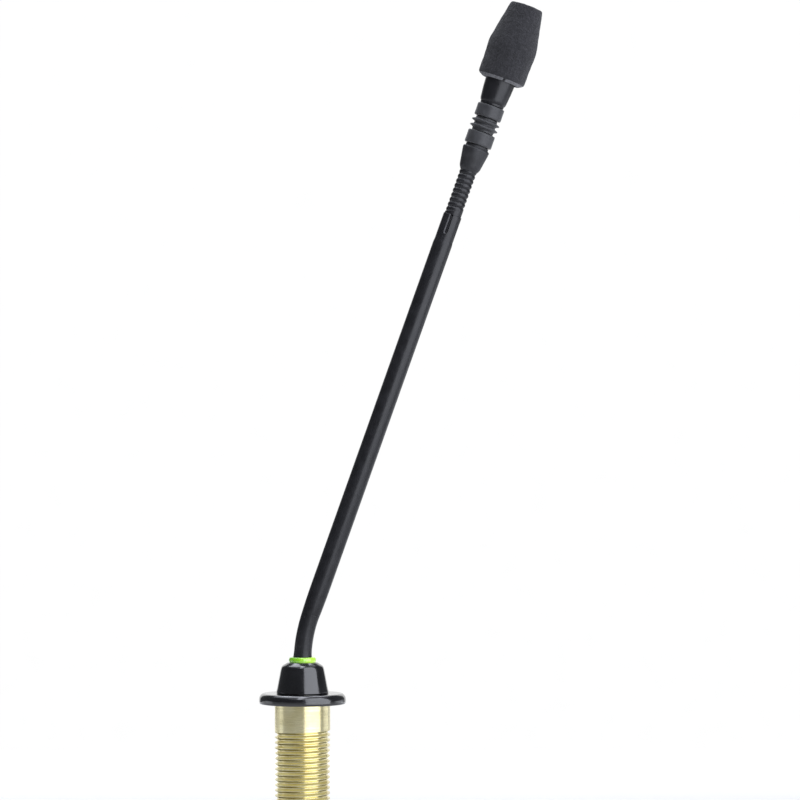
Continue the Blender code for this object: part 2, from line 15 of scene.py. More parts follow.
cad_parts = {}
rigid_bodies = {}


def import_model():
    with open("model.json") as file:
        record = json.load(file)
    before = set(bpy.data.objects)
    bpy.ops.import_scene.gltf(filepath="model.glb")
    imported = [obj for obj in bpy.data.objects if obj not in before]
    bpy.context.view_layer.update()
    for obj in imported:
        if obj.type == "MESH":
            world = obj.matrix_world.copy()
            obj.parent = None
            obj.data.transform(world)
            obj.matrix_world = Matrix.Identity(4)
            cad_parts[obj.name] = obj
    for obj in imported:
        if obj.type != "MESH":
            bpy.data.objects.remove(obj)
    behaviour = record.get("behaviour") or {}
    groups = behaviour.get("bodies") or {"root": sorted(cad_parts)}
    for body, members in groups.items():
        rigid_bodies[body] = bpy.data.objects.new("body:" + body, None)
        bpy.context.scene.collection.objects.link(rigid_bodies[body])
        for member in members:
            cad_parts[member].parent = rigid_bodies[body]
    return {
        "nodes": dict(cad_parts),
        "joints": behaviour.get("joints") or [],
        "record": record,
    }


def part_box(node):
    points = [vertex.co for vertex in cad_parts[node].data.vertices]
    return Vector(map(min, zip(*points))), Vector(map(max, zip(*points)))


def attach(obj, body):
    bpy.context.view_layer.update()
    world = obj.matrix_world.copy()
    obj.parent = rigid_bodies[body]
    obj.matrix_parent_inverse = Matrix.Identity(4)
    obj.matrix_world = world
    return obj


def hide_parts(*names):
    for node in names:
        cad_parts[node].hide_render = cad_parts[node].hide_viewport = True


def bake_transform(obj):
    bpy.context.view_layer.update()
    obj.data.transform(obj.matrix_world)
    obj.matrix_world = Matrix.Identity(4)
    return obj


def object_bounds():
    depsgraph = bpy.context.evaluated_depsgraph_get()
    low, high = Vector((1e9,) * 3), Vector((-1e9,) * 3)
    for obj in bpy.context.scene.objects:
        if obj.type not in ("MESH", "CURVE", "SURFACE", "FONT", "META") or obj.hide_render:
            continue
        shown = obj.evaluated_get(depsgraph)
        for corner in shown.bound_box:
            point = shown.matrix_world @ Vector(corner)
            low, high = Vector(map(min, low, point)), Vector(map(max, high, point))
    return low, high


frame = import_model()
cad_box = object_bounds()

MM = 0.001
TURN = 2 * math.pi
SIDES = 96  # of the large round pieces
FINE_SIDES = 48  # of the small round pieces
HOLE_SIDES = 24
SHARP_ANGLE = math.radians(38)  # edges sharper than this stay sharp in the shading
GAP = 0.3  # round the insert and round its pins

# Camera, lights and floor
CAMERA_PLACE = (0.039, -1.525, 0.1214)
VIEW_WIDTH = 0.320  # of what the camera sees at the object
SENSOR_WIDTH = 36.0  # in millimetres
LIGHT_COLOUR = (0.94, 0.97, 1.06)
LIT_POINT = Vector((0.03, 0, 0.1))  # the high lights point at it
FLOOR_SIDE = 4.0
FLOOR_BACK = 0.8  # the camera sees the floor beyond y = 0.51, where its painted glow makes it white
FLOOR_DROP = 0.0003  # below the object
BACKDROP_Y = 2.6  # behind the other views' cameras

# Base
TUBE_RADIUS = 11.1
TUBE_BORE = 8.9
SPIGOT_RADIUS = 7.7
SPIGOT_BORE = 6.2
SPIGOT_LENGTH = 6.0
SPIGOT_BORE_END_Z = -6.0
THREAD_PITCH = 25.4 / 12
THREAD_DEPTH = 1.15
THREAD_PROFILE = ((0.0, 0.0), (0.08, 0.0), (0.42, 1.0), (0.58, 1.0), (0.92, 0.0))  # along a pitch, how deep
THREAD_RUN_OUT = 0.3  # the part of a turn in which a groove fades
THREAD_TURNS = 28
THREAD_PHASE_Z = -70.6  # height where the thread starts, on the -X side
COLLAR_END_Z = -8.8
SCREW_RADIUS = 1.0
SCREW_HOLE_RADIUS = 1.3
HEX_KEY = 0.45  # half the width of a set screw's socket

# Clamp
NUT_FLATS = 30.0
NUT_BORE = 11.45
NUT_CHAMFER_RADIUS = 14.2
NUT_SIDES = 144
NUT_ROWS = 24
WASHER_BORE = 11.6

# Necks and stem
SKIN_RADIUS = 3.55
SKIN_BORE = 3.3
SKIN_FLARE_LENGTH = 5.0
SKIN_SWELL_LENGTH = 7.0
HOSE_RADIUS = 3.45
HOSE_ROOT_RADIUS = 3.02
HOSE_BORE = 2.2
HOSE_PITCH = 1.97
CABLE_RADIUS = 0.9
BLEND_MARGIN = 0.2  # the stretch worked out for a joint's bend keeps this far from the ends of its length of neck
STEM_RADIUS = 3.9
STEM_CRIMP_RADIUS = 3.75
STEM_BORE = 3.2
CRIMP_LENGTH = 12.0
SLIT_LENGTH = 8.0
SLIT_HALF_WIDTH = 0.7
SLIT_SHIFT = -0.5
ADAPTER_REACH = 11.1  # from the adapter's lower end to the lower collar
HOSE_REACH = 11.15  # from the hose's upper end to the lower collar

# Head
FIN_PLACES = (206.4, 208.7)
CAP_HOLES = 6
CAP_HOLE_RADIUS = 0.9
CAP_HOLE_CIRCLE = 3.2

# Foam
FOAM_SIDES = 320
FOAM_SPACING = 0.19  # between the rows of points along its outside
CAVITY_RADIUS = 6.4
CAVITY_TOP = 250.6
PORE_SIZE = 0.55
PORE_DEPTH = 0.16
LUMP_SIZE = 2.5
LUMP_DEPTH = 0.12
NOTCH_DEPTH = 1.2
NOTCH_LENGTH = 0.9
NOTCH_SIDE = (1.3, -9.0, 0)
BOUNCE_LIGHT_LENGTH = 1.0  # of the lower rim painted paler: painted light, for the floor's bounce on the foam's underside
NOTCH_WIDTH = math.cos(math.radians(3.4))  # for half the angle of the split in the foam's edge

JOINTS = {joint["name"]: joint for joint in frame["joints"]}
SLOTS = {part["node"]: part["material_slot"] for part in frame["record"]["subparts"]}


def lower_bend():
    """The radius of the lower neck's arc and the height where it starts, from its last joint across."""
    place = Vector(JOINTS["lower_side_2"]["pos_m"]) / MM
    across = Vector(JOINTS["lower_side_2"]["axis"])
    angle = math.atan2(-across.z, across.x)
    radius = place.x / (1 - math.cos(angle))
    return radius, place.z - radius * math.sin(angle)


HEAD_AXIS = Vector(JOINTS["windscreen_pull"]["axis"]).normalized()
LEAN = math.atan2(HEAD_AXIS.x, HEAD_AXIS.z)
BEND_RADIUS, BEND_START_Z = lower_bend()
BEND_LENGTH = BEND_RADIUS * LEAN
SKIN_LENGTH = BEND_LENGTH + BEND_START_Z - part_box("lower_neck_skin")[0].z / MM


def upright(z):
    """The frame of the base's axis at height z, in metres."""
    return Matrix.Translation((0, 0, z * MM))


def leaning(s):
    """The frame of the neck's axis at s, in metres."""
    angle = min(max(s + BEND_LENGTH, 0.0), BEND_LENGTH) / BEND_RADIUS
    x = BEND_RADIUS * (1 - math.cos(angle))
    z = BEND_START_Z + BEND_RADIUS * math.sin(angle)
    straight = max(s, 0.0) + min(s + BEND_LENGTH, 0.0)
    tilt = Matrix.Rotation(angle, 4, "Y")
    return Matrix.Translation((Vector((x, 0, z)) + tilt @ Vector((0, 0, straight))) * MM) @ tilt


def outward(place, length, angle):
    """Frames along a line that leaves an axis at a length, at an angle about it."""
    middle = place(length) @ Matrix.Rotation(angle, 4, "Z") @ Matrix.Rotation(TURN / 4, 4, "Y")
    return lambda t: middle @ Matrix.Translation((0, 0, t * MM))


def beside(place, x, y):
    """The same axis moved sideways in its own frame."""
    return lambda s: place(s) @ Matrix.Translation((x * MM, y * MM, 0))


def span(node):
    """How far a CAD node on the straight part of the axis reaches along it."""
    foot = leaning(0).translation
    lengths = [(vertex.co - foot).dot(HEAD_AXIS) / MM for vertex in frame["nodes"][node].data.vertices]
    return min(lengths), max(lengths)


def heights(node):
    """The lowest and highest z of a CAD node."""
    low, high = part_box(node)
    return low.z / MM, high.z / MM


def joint_length(name):
    """Where a joint of a neck lies along the axis."""
    place = Vector(JOINTS[name]["pos_m"]) / MM
    if place.z > leaning(0).translation.z / MM:
        return (place * MM - leaning(0).translation).dot(HEAD_AXIS) / MM
    return BEND_RADIUS * math.asin((place.z - BEND_START_Z) / BEND_RADIUS) - BEND_LENGTH


HOSE_START = span("stem_sleeve")[1] + 0.05

# Materials


def new_material(name, roughness, metallic=0.0, **sockets):
    """A Principled material. What is the same all over it is set on the shader's own sockets."""
    material = bpy.data.materials.new(name)
    material.use_nodes = True
    shader = material.node_tree.nodes["Principled BSDF"]
    shader.inputs["Roughness"].default_value = roughness
    shader.inputs["Metallic"].default_value = metallic
    for socket, value in sockets.items():
        shader.inputs[socket.replace("_", " ")].default_value = value
    return material, shader


def add_node(material, kind, inputs, **properties):
    """A node with its properties, and its inputs set to values or linked to other nodes' outputs."""
    node = material.node_tree.nodes.new(kind)
    for key, value in properties.items():
        setattr(node, key, value)
    for key, value in inputs.items():
        if isinstance(value, bpy.types.NodeSocket):
            material.node_tree.links.new(value, node.inputs[key])
        else:
            node.inputs[key].default_value = value
    return node


def surface_point(material, stretch=(1, 1, 1)):
    """The point on the piece, in its own space, stretched."""
    point = add_node(material, "ShaderNodeTexCoord", {}).outputs["Object"]
    return add_node(material, "ShaderNodeMapping", {"Vector": point, "Scale": stretch}).outputs["Vector"]


def noise_value(material, scale, detail=2.0, stretch=(1, 1, 1)):
    """Noise of a scale over the piece."""
    point = surface_point(material, stretch)
    inputs = {"Vector": point, "Scale": scale, "Detail": detail}
    return add_node(material, "ShaderNodeTexNoise", inputs).outputs["Fac"]


def remap(material, value, low, high, start=0.3, end=0.7):
    """Noise spread over a range of numbers."""
    inputs = {"Value": value, "From Min": start, "From Max": end, "To Min": low, "To Max": high}
    return add_node(material, "ShaderNodeMapRange", inputs).outputs["Result"]


def two_colours(material, value, dark, light, start=0.3, end=0.7):
    """A colour between two, as the value goes from start to end."""
    ramp = add_node(material, "ShaderNodeValToRGB", {"Fac": value})
    for stop, place, colour in zip(ramp.color_ramp.elements, (start, end), (dark, light)):
        stop.position = place
        stop.color = (*colour, 1.0)
    return ramp.outputs["Color"]


def mix_colours(material, value, *colours):
    """Two colours mixed. Each is (red, green, blue), or another node's output."""
    first_socket, result = 6, 2  # the node's sockets for colours share their names with others
    inputs = {"Factor": value}
    for i, colour in enumerate(colours):
        inputs[first_socket + i] = colour if isinstance(colour, bpy.types.NodeSocket) else (*colour, 1.0)
    return add_node(material, "ShaderNodeMix", inputs, data_type="RGBA").outputs[result]


def emboss(material, shader, height, depth, strength=1.0):
    """Bump of a depth in millimetres."""
    inputs = {"Height": height, "Distance": depth * MM, "Strength": strength}
    bump = add_node(material, "ShaderNodeBump", inputs)
    material.node_tree.links.new(bump.outputs["Normal"], shader.inputs["Normal"])


def feed(material, shader, **sockets):
    """Links nodes' outputs to the shader's sockets."""
    for socket, value in sockets.items():
        material.node_tree.links.new(value, shader.inputs[socket.replace("_", " ")])


def worn_edges(material):
    """High on convex edges, broken up by noise."""
    edges = add_node(material, "ShaderNodeNewGeometry", {}).outputs["Pointiness"]
    edge = remap(material, edges, 0.0, 1.0, 0.53, 0.6)
    patches = remap(material, noise_value(material, 900, 3.0), 0.0, 1.0, 0.45, 0.62)
    return add_node(material, "ShaderNodeMath", {0: edge, 1: patches}, operation="MULTIPLY").outputs["Value"]


def make_black_gloss():
    material, shader = new_material("black_gloss", 0.16, Coat_Weight=0.7, Coat_Roughness=0.06, IOR=1.75)
    smudges = noise_value(material, 160, 4.0)
    colour = two_colours(material, smudges, (0.004, 0.004, 0.005), (0.009, 0.009, 0.011))
    colour = mix_colours(material, worn_edges(material), colour, (0.05, 0.05, 0.056))
    feed(material, shader, Base_Color=colour, Roughness=remap(material, smudges, 0.12, 0.24))
    emboss(material, shader, noise_value(material, 1400, 1.0), 0.006)
    return material


def make_black_satin():
    material, shader = new_material("black_satin", 0.36, IOR=1.5)
    grain = noise_value(material, 5200, 2.0)
    cloud = noise_value(material, 240, 3.0)
    colour = two_colours(material, cloud, (0.013, 0.013, 0.015), (0.019, 0.019, 0.022))
    colour = mix_colours(material, worn_edges(material), colour, (0.06, 0.06, 0.068))
    feed(material, shader, Base_Color=colour, Roughness=remap(material, cloud, 0.27, 0.37))
    emboss(material, shader, grain, 0.012)
    return material


def make_black_rubber():
    material, shader = new_material("black_rubber", 0.62, Sheen_Weight=0.25, Sheen_Roughness=0.5, IOR=1.6)
    bloom = noise_value(material, 420, 5.0)
    colour = two_colours(material, bloom, (0.026, 0.026, 0.029), (0.046, 0.047, 0.051))
    colour = mix_colours(material, worn_edges(material), colour, (0.1, 0.1, 0.11))
    feed(material, shader, Base_Color=colour, Roughness=remap(material, bloom, 0.44, 0.6))
    emboss(material, shader, noise_value(material, 3600, 3.0), 0.02)
    return material


def make_brass():
    """Turned brass: fine rings round the vertical axis, and a thin uneven tarnish."""
    material, shader = new_material("brass", 0.2, 1.0)
    rings = noise_value(material, 1.0, 2.0, (55, 55, 5200))
    tarnish = noise_value(material, 130, 4.0)
    colour = two_colours(material, tarnish, (0.82, 0.73, 0.39), (0.93, 0.86, 0.54), 0.32, 0.6)
    colour = mix_colours(material, remap(material, rings, 0.0, 0.35), colour, (0.83, 0.74, 0.41))
    feed(material, shader, Base_Color=colour, Roughness=remap(material, rings, 0.14, 0.3))
    emboss(material, shader, rings, 0.004)
    return material


def make_steel():
    material, shader = new_material("steel", 0.3, 1.0)
    rings = noise_value(material, 1.0, 3.0, (700, 700, 5000))
    stain = noise_value(material, 200, 4.0)
    colour = two_colours(material, stain, (0.36, 0.36, 0.37), (0.6, 0.6, 0.61))
    feed(material, shader, Base_Color=colour, Roughness=remap(material, rings, 0.22, 0.42))
    emboss(material, shader, rings, 0.006)
    return material


def make_green_ring():
    """A moulded light guide that glows, with painted light: its glow is painted brighter towards its right
    side, where the key lamp falls.
    """
    material, shader = new_material(
        "green_ring", 0.22, Subsurface_Weight=0.3, Subsurface_Scale=0.001, Coat_Weight=1.0, Coat_IOR=1.8,
        Coat_Roughness=0.12,
    )
    shader.inputs["Subsurface Radius"].default_value = (1.0, 1.0, 0.3)
    glow = noise_value(material, 320, 2.0)
    colour = two_colours(material, glow, (0.22, 0.6, 0.015), (0.36, 0.78, 0.03), 0.35, 0.65)
    split = add_node(material, "ShaderNodeSeparateXYZ", {"Vector": surface_point(material)})
    # painted light: the glow's colour runs from dark on the left to bright on the right, as the lamps light
    # the ring
    painted_side_light = remap(material, split.outputs["X"], 0.0, 1.0, -0.002, 0.004)
    light = two_colours(material, painted_side_light, (0.04, 0.14, 0.0), (0.6, 0.8, 0.12), 0.0, 1.0)
    shader.inputs["Emission Strength"].default_value = 0.6
    feed(material, shader, Base_Color=colour, Emission_Color=light)
    emboss(material, shader, noise_value(material, 1500, 2.0), 0.01)
    return material


def make_led_white():
    material, shader = new_material("led_white", 0.25)
    shader.inputs["Emission Strength"].default_value = 1.5
    cloud = noise_value(material, 1500, 2.0)
    colour = two_colours(material, cloud, (0.7, 0.8, 0.5), (0.9, 0.95, 0.8))
    roughness = remap(material, cloud, 0.2, 0.35)
    feed(material, shader, Base_Color=colour, Emission_Color=colour, Roughness=roughness)
    return material


def make_board_green():
    """Solder mask with the faint relief of copper tracks under it."""
    material, shader = new_material("board_green", 0.4, Coat_Weight=0.3, Coat_Roughness=0.2)
    point = surface_point(material, (620, 620, 620))
    tracks = add_node(
        material, "ShaderNodeTexBrick", {"Vector": point, "Scale": 1.0, "Mortar Size": 0.08}, offset=0.37,
    )
    fibres = noise_value(material, 900, 3.0)
    colour = two_colours(material, fibres, (0.015, 0.12, 0.04), (0.03, 0.2, 0.07))
    colour = mix_colours(material, tracks.outputs["Fac"], colour, (0.05, 0.28, 0.09))
    feed(material, shader, Base_Color=colour, Roughness=remap(material, fibres, 0.32, 0.5))
    emboss(material, shader, tracks.outputs["Fac"], 0.03)
    return material


def make_dark_plastic():
    material, shader = new_material("dark_plastic", 0.5)
    grain = noise_value(material, 2600, 3.0)
    cloud = noise_value(material, 300, 3.0)
    colour = two_colours(material, cloud, (0.02, 0.02, 0.022), (0.04, 0.04, 0.044))
    colour = mix_colours(material, worn_edges(material), colour, (0.09, 0.09, 0.095))
    feed(material, shader, Base_Color=colour, Roughness=remap(material, grain, 0.42, 0.6))
    emboss(material, shader, grain, 0.015)
    return material


def make_cable_grey():
    material, shader = new_material("cable_grey", 0.5)
    grain = noise_value(material, 1800, 4.0)
    colour = two_colours(material, grain, (0.045, 0.045, 0.05), (0.09, 0.09, 0.1))
    feed(material, shader, Base_Color=colour, Roughness=remap(material, grain, 0.42, 0.6))
    emboss(material, shader, grain, 0.02)
    return material


def make_foam(name, dark, light):
    """Open-cell foam: its cells painted darker as painted shade in their hollows, between paler struts."""
    material, shader = new_material(name, 0.95, Sheen_Weight=0.15, Sheen_Roughness=0.6)
    point = surface_point(material)
    cells = add_node(material, "ShaderNodeTexVoronoi", {"Vector": point, "Scale": 1 / (PORE_SIZE * MM)})
    mottle = noise_value(material, 900, 4.0)
    colour = two_colours(material, mottle, dark, light, 0.34, 0.66)
    # painted shade: the cells' hollows darkened
    pore_shade = remap(material, cells.outputs["Distance"], 0.75, 0.0, 0.08, 0.5)
    colour = mix_colours(material, pore_shade, colour, tuple(c * 0.35 for c in dark))
    feed(material, shader, Base_Color=colour)
    emboss(material, shader, cells.outputs["Distance"], 0.18, 0.8)
    return material


MATERIALS = {
    "black_gloss": make_black_gloss(),
    "black_satin": make_black_satin(),
    "black_rubber": make_black_rubber(),
    "brass": make_brass(),
    "steel": make_steel(),
    "green_ring": make_green_ring(),
    "led_white": make_led_white(),
    "board_green": make_board_green(),
    "dark_plastic": make_dark_plastic(),
    "cable_grey": make_cable_grey(),
    "foam": make_foam("foam", (0.017, 0.017, 0.02), (0.032, 0.031, 0.036)),
}
# painted light: a paler copy of the foam for its underside, which the floor's bounce lights
FOAM_BOUNCE_LIGHT = make_foam("foam_painted_bounce_light", (0.16, 0.16, 0.17), (0.26, 0.26, 0.28))


# Mesh tools


def fillet(outline, size, steps=3):
    """A closed outline with its corners rounded. A point's third number is its own size."""
    points = []
    for i, point in enumerate(outline):
        here = Vector(point[:2])
        before = Vector(outline[i - 1][:2]) - here
        after = Vector(outline[(i + 1) % len(outline)][:2]) - here
        reach = point[2] if len(point) > 2 else size
        if reach == 0:
            points.append(here)
            continue
        a = here + before.normalized() * min(reach, before.length * 0.45)
        b = here + after.normalized() * min(reach, after.length * 0.45)
        for k in range(steps + 1):
            t = k / steps
            points.append(a * (1 - t) ** 2 + here * 2 * t * (1 - t) + b * t ** 2)
    return points


def add_ring(shape, radius, matrix, sides):
    """Vertices round an axis. The radius is a number, or a function of the angle."""
    ring = []
    for i in range(sides):
        angle = TURN * i / sides
        r = (radius(angle) if callable(radius) else radius) * MM
        ring.append(shape.verts.new(matrix @ Vector((r * math.cos(angle), r * math.sin(angle), 0))))
    return ring


def bridge(shape, a, b):
    """Faces between two rings, either of which may be a single point."""
    for i in range(max(len(a), len(b))):
        j = (i + 1) % max(len(a), len(b))
        corners = [a[i % len(a)], a[j % len(a)], b[j % len(b)], b[i % len(b)]]
        shape.faces.new(dict.fromkeys(corners))


def revolve(outline, place, sides=SIDES):
    """A solid turned from an outline. It closes on itself, or starts and ends on the axis."""
    shape = bmesh.new()
    rings = []
    for radius, length in outline:
        if not callable(radius) and radius < 1e-6:
            rings.append([shape.verts.new(place(length).translation)])
        else:
            rings.append(add_ring(shape, radius, place(length), sides))
    for a, b in zip(rings, rings[1:]):
        bridge(shape, a, b)
    if len(rings[0]) > 1:
        bridge(shape, rings[-1], rings[0])
    return shape


def make_object(name, shape, sharp=SHARP_ANGLE):
    """A smooth-shaded object, with the edges above an angle left sharp."""
    bmesh.ops.recalc_face_normals(shape, faces=shape.faces)
    mesh = bpy.data.meshes.new(name)
    shape.to_mesh(mesh)
    shape.free()
    mesh.shade_smooth()
    mesh.set_sharp_from_angle(angle=sharp)
    obj = bpy.data.objects.new(name, mesh)
    bpy.context.scene.collection.objects.link(obj)
    return obj


def dress(obj, slot, *nodes):
    """Gives a piece the material of its slot, and hides the CAD nodes it stands for."""
    obj.data.materials.clear()
    obj.data.materials.append(MATERIALS[slot])
    if nodes:
        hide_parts(*nodes)
    return obj


def add_piece(name, shape, slot, body, *nodes):
    """A finished piece that rides on a body."""
    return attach(dress(make_object(name, shape), slot, *nodes), body)


def carve(obj, cutters):
    """Cuts shapes out of a piece for good."""
    for i, shape in enumerate(cutters):
        cutter = make_object(f"cutter_{i}", shape)
        modifier = obj.modifiers.new("carve", "BOOLEAN")
        modifier.solver = "EXACT"
        modifier.object = cutter
        bpy.context.view_layer.update()
        solid = obj.evaluated_get(bpy.context.evaluated_depsgraph_get())
        mesh = bpy.data.meshes.new_from_object(solid)
        obj.modifiers.clear()
        obj.data = mesh
        bpy.data.objects.remove(cutter)
    obj.data.shade_smooth()
    obj.data.set_sharp_from_angle(angle=SHARP_ANGLE)
    return obj


def rod(radius, start, end, place, sides=HOLE_SIDES):
    """A round bar along an axis, to cut a hole with."""
    return revolve([(0, start), (radius, start), (radius, end), (0, end)], place, sides)


def screw_hole(node, start, end):
    """A bar for the hole of a set screw on the base's +Y side."""
    low, high = heights(node)
    return rod(SCREW_HOLE_RADIUS, start, end, outward(upright, (low + high) / 2, TURN / 4))


def hexagon(flats):
    """The distance from a hexagon's centre to its sides at an angle."""
    return lambda angle: flats / math.cos((angle + TURN / 12) % (TURN / 6) - TURN / 12)


# Base


def spiral_wall(shape, low_ring, high_ring, start_z, turns, radius, depth):
    """A screw thread between two rings of the radius: grooves of a depth, which fade at both ends.

    Each turn has a crest, a flank down, a root and a flank up, and a turn's last row meets the next
    turn's first.
    """
    sides = len(low_ring)
    last = turns * sides
    grid = []
    for m in range(last + 1):
        angle = TURN * m / sides
        fade = min(1.0, m / (THREAD_RUN_OUT * sides), (last - m) / (THREAD_RUN_OUT * sides))
        column = []
        for u, groove in THREAD_PROFILE:
            r = (radius + depth * groove * fade) * MM
            z = (start_z + THREAD_PITCH * (m / sides + u)) * MM
            column.append(shape.verts.new((r * math.cos(angle), r * math.sin(angle), z)))
        grid.append(column)
    for m in range(last):
        for j in range(len(THREAD_PROFILE) - 1):
            shape.faces.new((grid[m][j], grid[m + 1][j], grid[m + 1][j + 1], grid[m][j + 1]))
        if m + 1 + sides <= last:
            shape.faces.new((grid[m][-1], grid[m + 1][-1], grid[m + 1 + sides][0], grid[m + sides][0]))
    for i in range(sides - 1):
        shape.faces.new((low_ring[i], low_ring[i + 1], grid[i + 1][0], grid[i][0]))
        k = last - sides + i + 1
        shape.faces.new((grid[k][-1], grid[k + 1][-1], high_ring[(i + 2) % sides], high_ring[i + 1]))
    shape.faces.new((low_ring[-1], low_ring[0], *grid[0], grid[sides][0], grid[sides - 1][0]))
    first = last - sides
    shape.faces.new((grid[first + 1][-1], grid[first][-1], *grid[last], high_ring[0], high_ring[1]))


def add_threaded_tube():
    low, high = heights("threaded_tube")
    shoulder = high - SPIGOT_LENGTH
    edge, chamfer = 0.25, 0.9
    shape = bmesh.new()
    inner = fillet([
        (SPIGOT_RADIUS, shoulder, 0), (SPIGOT_RADIUS, high), (SPIGOT_BORE, high),
        (SPIGOT_BORE, SPIGOT_BORE_END_Z),
        (TUBE_BORE, SPIGOT_BORE_END_Z), (TUBE_BORE, low), (TUBE_RADIUS - chamfer, low),
        (TUBE_RADIUS, low + chamfer),
    ], edge)
    outer = [(TUBE_RADIUS - edge, shoulder), (TUBE_RADIUS, shoulder - edge), (TUBE_RADIUS, COLLAR_END_Z)]
    inner_rings = [add_ring(shape, r, upright(z), SIDES) for r, z in inner]
    outer_rings = [add_ring(shape, r, upright(z), SIDES) for r, z in outer]
    last = add_ring(shape, TUBE_RADIUS, upright(THREAD_PHASE_Z - 1.0), SIDES)
    for rings in (inner_rings + [last], outer_rings):
        for a, b in zip(rings, rings[1:]):
            bridge(shape, a, b)
    bridge(shape, inner_rings[0], outer_rings[0])
    spiral_wall(shape, last, outer_rings[-1], THREAD_PHASE_Z, THREAD_TURNS, TUBE_RADIUS, -THREAD_DEPTH)
    half_turn = Matrix.Rotation(TURN / 2, 3, "Z")  # brings the thread's ends to the -X side
    bmesh.ops.rotate(shape, verts=shape.verts, cent=(0, 0, 0), matrix=half_turn)
    tube = make_object("tube_body", shape, math.radians(30))
    carve(tube, [screw_hole("insert_screw", 7.0, 13.0)])
    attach(dress(tube, "brass", "threaded_tube"), "base")


def add_flange():
    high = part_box("flange_plate")[1]
    radius, top = high.x / MM, high.z / MM
    add_piece("flange_disc", revolve(fillet([
        (8.0, 2.3), (11.4, 2.3), (11.4, 0, 0.15), (radius - 0.3, 0, 0.2), (radius, 0.5, 0.4),
        (radius, top - 1.5, 1.2), (radius - 1.2, top, 1.0), (8.0, top, 0.1),
    ], 0.1, 5), upright), "black_gloss", "base", "flange_plate")


def add_cone():
    low = heights("cone_housing")[0]
    shell = make_object("cone_shell", revolve(fillet([
        (10.3, low - 0.27, 0.1), (10.5, low, 0.2), (10.45, low + 0.6, 0.3), (10.15, low + 1.8, 0.9),
        (8.7, 13.8, 1.2), (8.25, 15.1, 0.8), (6.0, 16.45, 0.2), (4.6, 16.45), (4.6, 15.7), (7.8, 13.4),
        (8.7, 5.0), (8.7, low - 0.27),
    ], 0.15, 5), upright))
    carve(shell, [screw_hole("ferrule_screw", 7.0, 12.0)])
    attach(dress(shell, "black_gloss", "cone_housing"), "base")


def add_light_ring():
    low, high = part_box("light_ring")
    radius = high.x / MM
    low_z, top_z = low.z / MM - 0.15, high.z / MM
    add_piece("light_guide", revolve(fillet([
        (4.05, low_z, 0.1), (radius - 0.1, low_z, 0.2), (radius, low_z + 1.05, 0.5),
        (radius - 0.35, top_z, 0.5), (4.05, top_z, 0.25),
    ], 0.2, 5), upright), "green_ring", "base", "light_ring")


def add_set_screw(name, node, place_z, start, end):
    """A set screw with a hexagon socket in its outer end."""
    place = outward(upright, place_z, TURN / 4)
    key = hexagon(HEX_KEY)
    outline = [
        (0, start), (SCREW_RADIUS - 0.25, start), (SCREW_RADIUS, start + 0.25), (SCREW_RADIUS, end - 0.15),
        (SCREW_RADIUS - 0.15, end), (0.62, end), (key, end - 0.12), (key, end - 0.9), (0, end - 1.0),
    ]
    add_piece(name, revolve(outline, place, FINE_SIDES), "steel", "base", node)


def add_screws():
    for node in ("ferrule_screw", "insert_screw"):
        low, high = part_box(node)
        add_set_screw(node + "_socket", node, (low.z + high.z) / 2 / MM, low.y / MM, high.y / MM)


def add_connector():
    """The insert, with a groove round its end face and a hole for each pin, and the round-nosed pins."""
    low, high = heights("output_insert")
    insert = make_object("connector_insert", revolve(fillet([
        (0, high, 0), (TUBE_BORE - GAP, high), (TUBE_BORE - GAP, low), (8.2, low, 0.1),
        (8.0, low + 0.6, 0.1), (6.6, low + 0.6, 0.1), (6.4, low, 0.1), (0, low, 0),
    ], 0.2), upright))
    holes = []
    for i in range(3):
        pin_low, pin_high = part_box(f"output_pin_{i + 1}")
        middle = (pin_low + pin_high) / 2 / MM
        radius = (pin_high.x - pin_low.x) / 2 / MM
        place = beside(upright, middle.x, middle.y)
        holes.append(rod(radius + GAP, low - 1, high + 1, place, FINE_SIDES))
        tip, foot = pin_low.z / MM, pin_high.z / MM
        add_piece(f"pin_{i + 1}", revolve(fillet([
            (0, foot, 0), (radius, foot, 0.2), (radius, tip, 0.9), (0, tip, 0),
        ], 0.2, 5), place, FINE_SIDES), "brass", "base", f"output_pin_{i + 1}")
    carve(insert, holes)
    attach(dress(insert, "dark_plastic", "output_insert"), "base")


def add_clamp():
    for node, edge in (("rubber_washer", 0.35), ("steel_washer", 0.15)):
        low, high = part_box(node)
        outer, low_z, high_z = high.x / MM, low.z / MM, high.z / MM
        outline = [(WASHER_BORE, low_z), (outer, low_z), (outer, high_z), (WASHER_BORE, high_z)]
        piece = revolve(fillet(outline, edge, 4), upright)
        add_piece(node + "_disc", piece, SLOTS[node], "washers", node)
    low, high = heights("lock_nut")
    flats = hexagon(NUT_FLATS / 2)
    chamfer = 1.3
    outline = [(NUT_BORE, low + 0.5), (NUT_BORE + 0.5, low)]
    for k in range(NUT_ROWS + 1):
        z = low + (high - low) * k / NUT_ROWS
        cone = NUT_CHAMFER_RADIUS + math.tan(math.radians(60)) * min(z - low, high - z) * chamfer
        outline.append(((lambda angle, cone=cone: min(flats(angle), cone)), z))
    outline += [(NUT_BORE + 0.5, high), (NUT_BORE, high - 0.5)]
    shape = bmesh.new()
    rings = [add_ring(shape, radius, upright(z), NUT_SIDES) for radius, z in outline]
    for a, b in zip(rings, rings[1:]):
        bridge(shape, a, b)
    spiral_wall(shape, rings[0], rings[-1], low + 0.45, 1, NUT_BORE, THREAD_DEPTH - 0.3)
    add_piece("nut_body", shape, "brass", "nut", "lock_nut")
